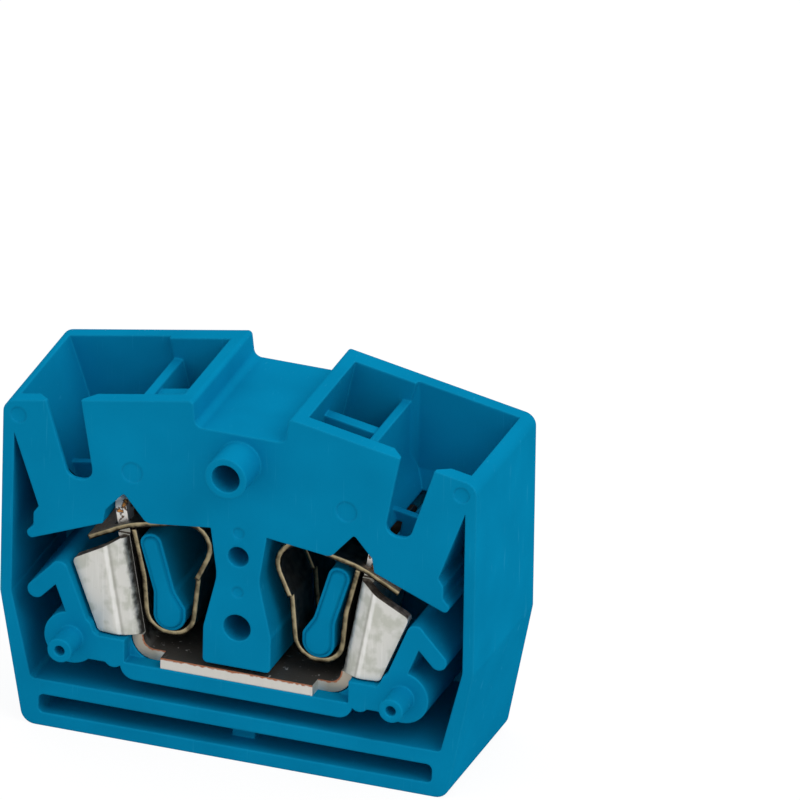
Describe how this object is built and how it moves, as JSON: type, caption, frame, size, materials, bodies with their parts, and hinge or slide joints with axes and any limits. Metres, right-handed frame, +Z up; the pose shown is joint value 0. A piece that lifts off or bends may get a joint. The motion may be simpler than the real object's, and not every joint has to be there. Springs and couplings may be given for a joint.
{
  "type": "feed-through terminal block",
  "caption": "Plug-together spring-clamp terminal block: a moulded shell with wire funnels and screwdriver shafts on top, and a bent contact bar with looped clamping springs in its open side.",
  "frame": {"origin": "centre of the bottom face of the housing", "axes": "+X along the block, +Y through its depth towards the closed back, +Z up"},
  "size_m": [0.0296, 0.0124, 0.023],
  "materials": {
    "polyamide": "satin moulded blue polyamide",
    "tinned_copper": "tin-plated copper, with bare copper on the sheared edges",
    "spring_steel": "rolled spring steel, polished faces and brownish edges"
  },
  "bodies": {
    "root": {"housing": "polyamide", "contact_bar": "tinned_copper", "spring_left_front": "spring_steel", "spring_left_rear": "spring_steel", "spring_right_front": "spring_steel", "spring_right_rear": "spring_steel"}
  },
  "joints": []
}
